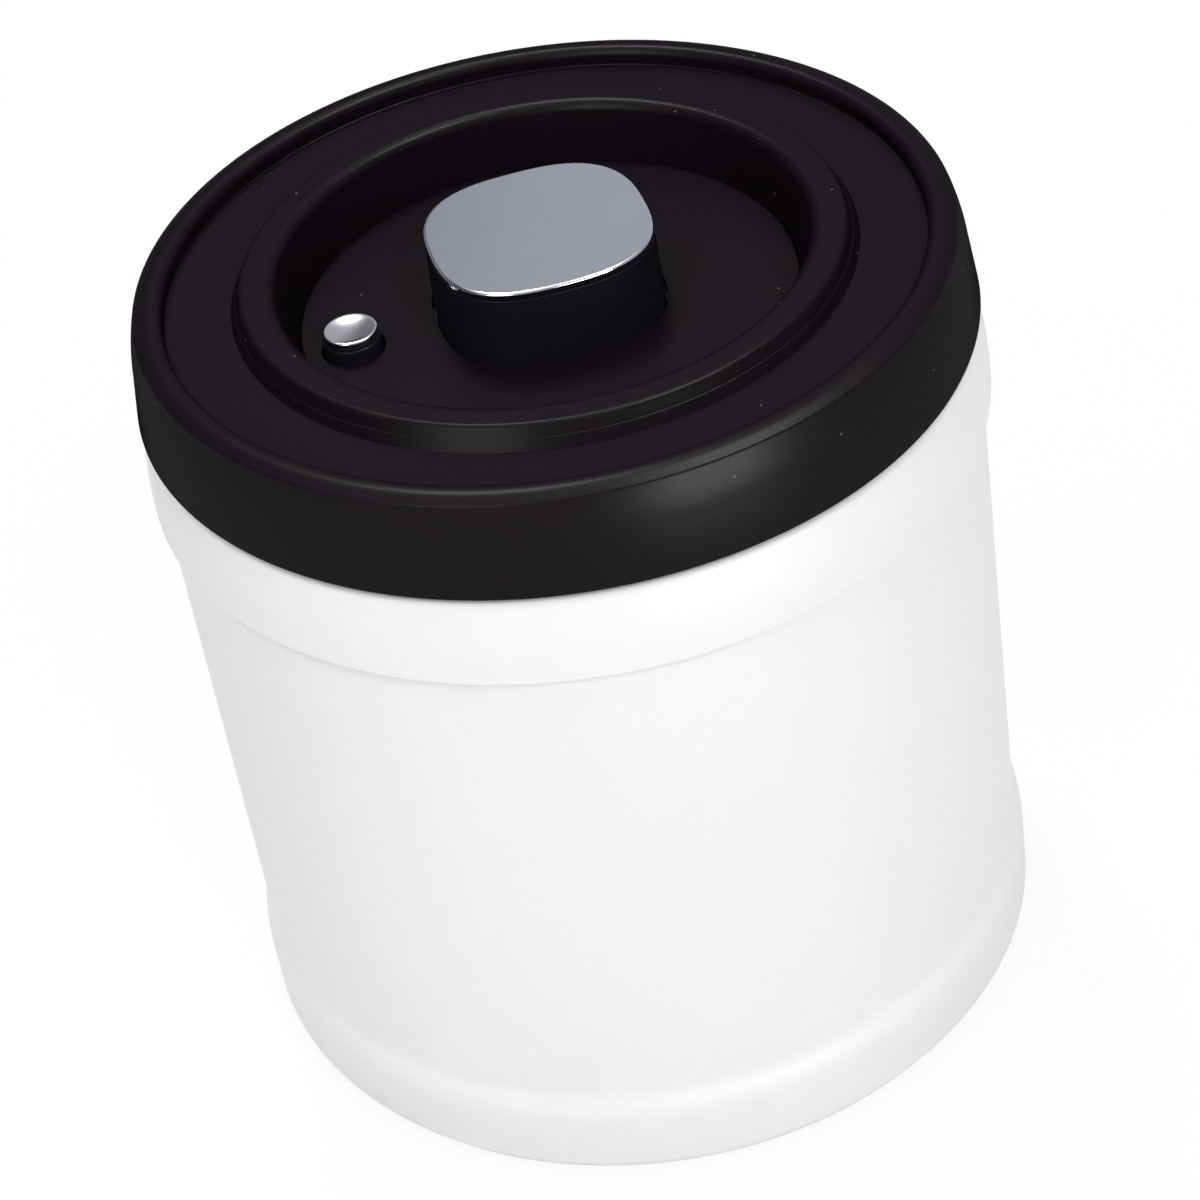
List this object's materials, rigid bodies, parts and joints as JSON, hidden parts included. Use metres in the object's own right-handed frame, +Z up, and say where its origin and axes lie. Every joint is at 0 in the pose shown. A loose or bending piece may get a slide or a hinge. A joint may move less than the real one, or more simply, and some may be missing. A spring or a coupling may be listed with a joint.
{
  "type": "airtight coffee canister",
  "caption": "Squat round coffee canister of coated steel with a deep push-on lid that holds a press-button vacuum pump and a small release button.",
  "frame": {"origin": "middle of the foot ring's underside, on the surface that the canister stands on", "axes": "+Z up the canister's axis to the press button, -X from the axis to the release button, +Y away from the front"},
  "size_m": [0.1292, 0.1292, 0.1352],
  "materials": {
    "white_coat": "satin white powder coat",
    "steel": "plain drawn steel",
    "black_plastic": "satin near-black moulding",
    "grey_plastic": "dark grey moulding",
    "silicone": "translucent white silicone",
    "rubber": "matt black rubber",
    "chrome": "bright chrome plate"
  },
  "bodies": {
    "canister": {"body_shell": "white_coat", "base_plate": "white_coat", "foot_ring": "rubber"},
    "lid": {"lid_cover": "black_plastic", "pump_housing": "black_plastic", "lid_plug": "grey_plastic", "lid_gasket": "silicone", "cylinder_base": "grey_plastic", "cylinder_oring": "rubber", "intake_valve": "silicone", "release_guide": "grey_plastic", "lid_screw_1": "steel", "lid_screw_2": "steel", "lid_screw_3": "steel", "lid_screw_4": "steel", "press_spring": "steel", "release_spring": "steel"},
    "press_button": {"press_shell": "black_plastic", "press_cap": "chrome", "piston": "grey_plastic", "piston_ring": "rubber", "exhaust_valve": "silicone", "piston_screw_1": "steel", "piston_screw_2": "steel"},
    "release_button": {"release_body": "black_plastic", "release_cap": "chrome", "release_seal": "silicone", "release_clip": "grey_plastic"}
  },
  "joints": [
    {"name": "lid_lift", "type": "slide", "parent": "canister", "child": "lid", "axis": [0, 0, 1], "range_m": [0, 0.06]},
    {"name": "press_slide", "type": "slide", "parent": "lid", "child": "press_button", "axis": [0, 0, -1], "range_m": [0, 0.009], "stiffness_N_per_m": 700, "springref_m": -0.004, "deforming": ["press_spring"]},
    {"name": "release_slide", "type": "slide", "parent": "lid", "child": "release_button", "axis": [0, 0, -1], "range_m": [0, 0.002], "stiffness_N_per_m": 800, "springref_m": -0.0015, "deforming": ["release_spring"]}
  ]
}
